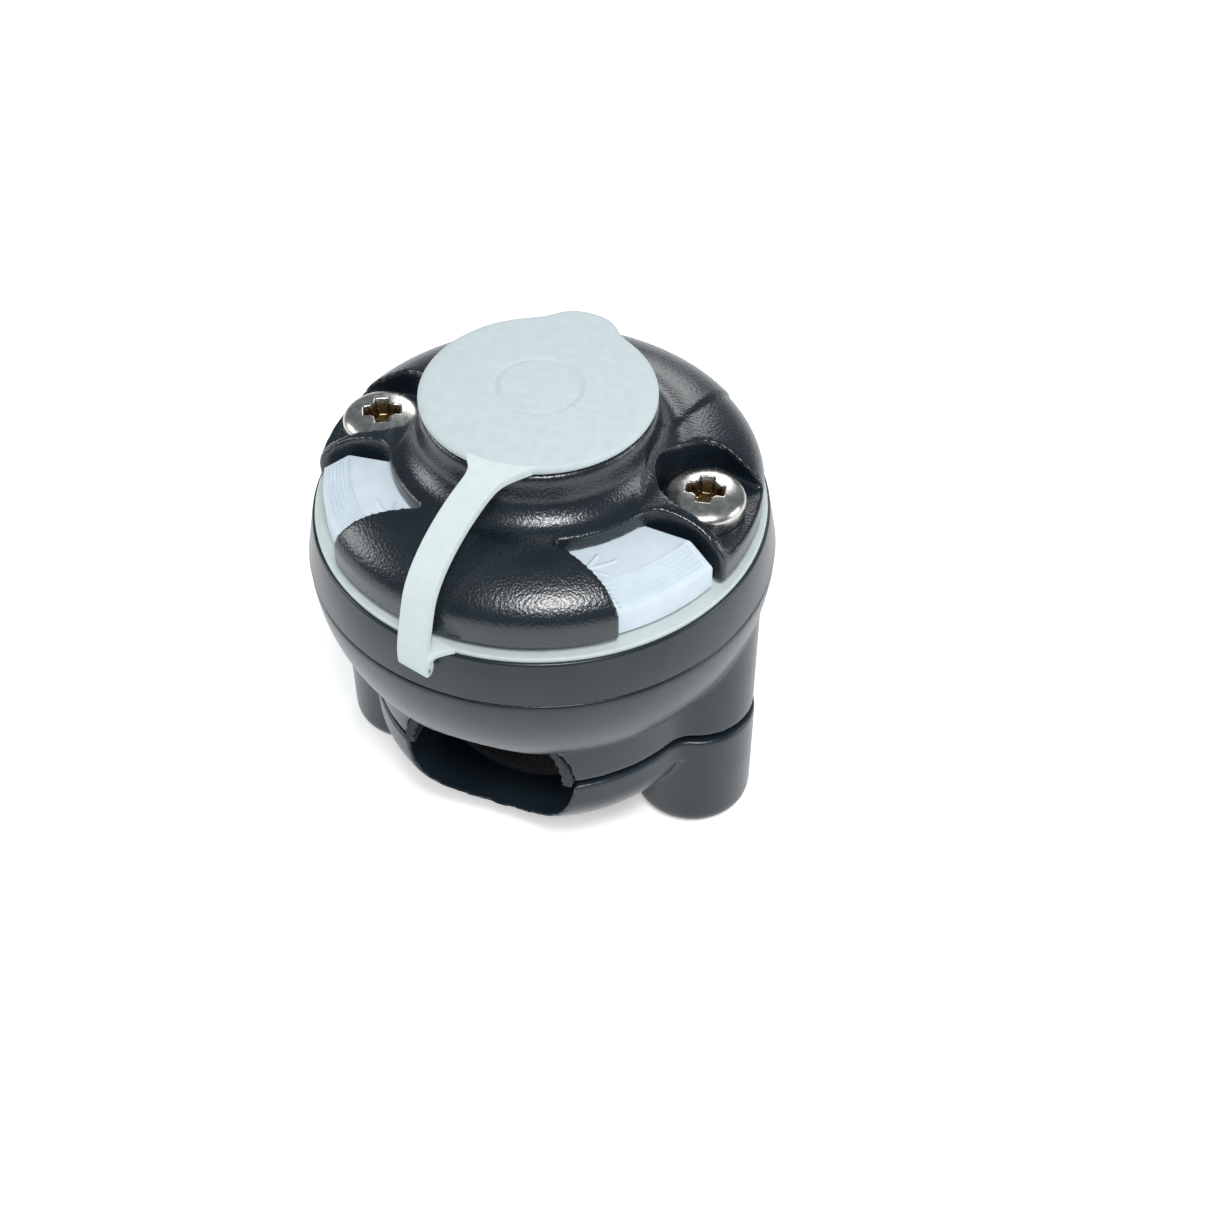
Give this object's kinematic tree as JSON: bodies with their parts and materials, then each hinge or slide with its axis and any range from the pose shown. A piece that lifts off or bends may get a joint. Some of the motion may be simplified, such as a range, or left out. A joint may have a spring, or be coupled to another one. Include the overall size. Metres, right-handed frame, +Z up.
{
  "type": "rail-mount accessory socket",
  "caption": "Capped accessory socket with sprung lock sliders, bolted onto a split clamp for a round boat rail; rubber cap on a tether.",
  "frame": {"origin": "on the axis of the clamped rail, under the axis of the socket", "axes": "+Y along the rail, +X towards the right-hand bolt, +Z up out of the socket's mouth; the tether is on the -Y side"},
  "size_m": [0.073, 0.0749, 0.0798],
  "materials": {
    "black_nylon": "satin, fine moulded grain",
    "grey_rubber": "matte",
    "pale_slider": "satin",
    "stainless": "polished",
    "liner_rubber": "matte",
    "insert_nylon": "satin"
  },
  "bodies": {
    "root": {"upper_clamp": "black_nylon", "upper_liner": "liner_rubber", "base_ring": "black_nylon", "gasket_ring": "grey_rubber", "retainer_plate": "black_nylon", "plate_screws": "stainless", "socket_dome": "black_nylon", "slider_spring_right": "stainless", "slider_spring_left": "stainless", "tether_strap": "grey_rubber"},
    "cap": {"cap": "grey_rubber"},
    "slider_right": {"lock_slider_right": "pale_slider"},
    "slider_left": {"lock_slider_left": "pale_slider"},
    "lower_half": {"lower_clamp": "black_nylon", "lower_liner": "liner_rubber", "nut_right": "stainless", "nut_left": "stainless", "nut_insert_right": "insert_nylon", "nut_insert_left": "insert_nylon"},
    "bolt_right": {"bolt_right": "stainless"},
    "bolt_left": {"bolt_left": "stainless"}
  },
  "joints": [
    {"name": "cap_flip", "type": "hinge", "parent": "root", "child": "cap", "pos_m": [-0.00001, -0.01997, 0.0562], "axis": [0.9613, -0.2756, 0], "range_deg": [0, 135], "deforming": ["tether_strap"]},
    {"name": "slider_right_travel", "type": "hinge", "parent": "root", "child": "slider_right", "pos_m": [0, 0, 0.04], "axis": [0, 0, 1], "range_deg": [-8, 0], "stiffness_Nm_per_rad": 0.1, "springref_deg": 11.46, "deforming": ["slider_spring_right"]},
    {"name": "slider_left_travel", "type": "hinge", "parent": "root", "child": "slider_left", "pos_m": [0, 0, 0.04], "axis": [0, 0, 1], "range_deg": [0, 8], "stiffness_Nm_per_rad": 0.1, "springref_deg": -11.46, "deforming": ["slider_spring_left"]},
    {"name": "clamp_open", "type": "slide", "parent": "root", "child": "lower_half", "axis": [0, 0, -1], "range_m": [0, 0.0025]},
    {"name": "bolt_right_turn", "type": "hinge", "parent": "root", "child": "bolt_right", "pos_m": [0.0262, 0, 0.04], "axis": [0, 0, 1], "continuous": true},
    {"name": "bolt_left_turn", "type": "hinge", "parent": "root", "child": "bolt_left", "pos_m": [-0.0262, 0, 0.04], "axis": [0, 0, 1], "continuous": true}
  ]
}
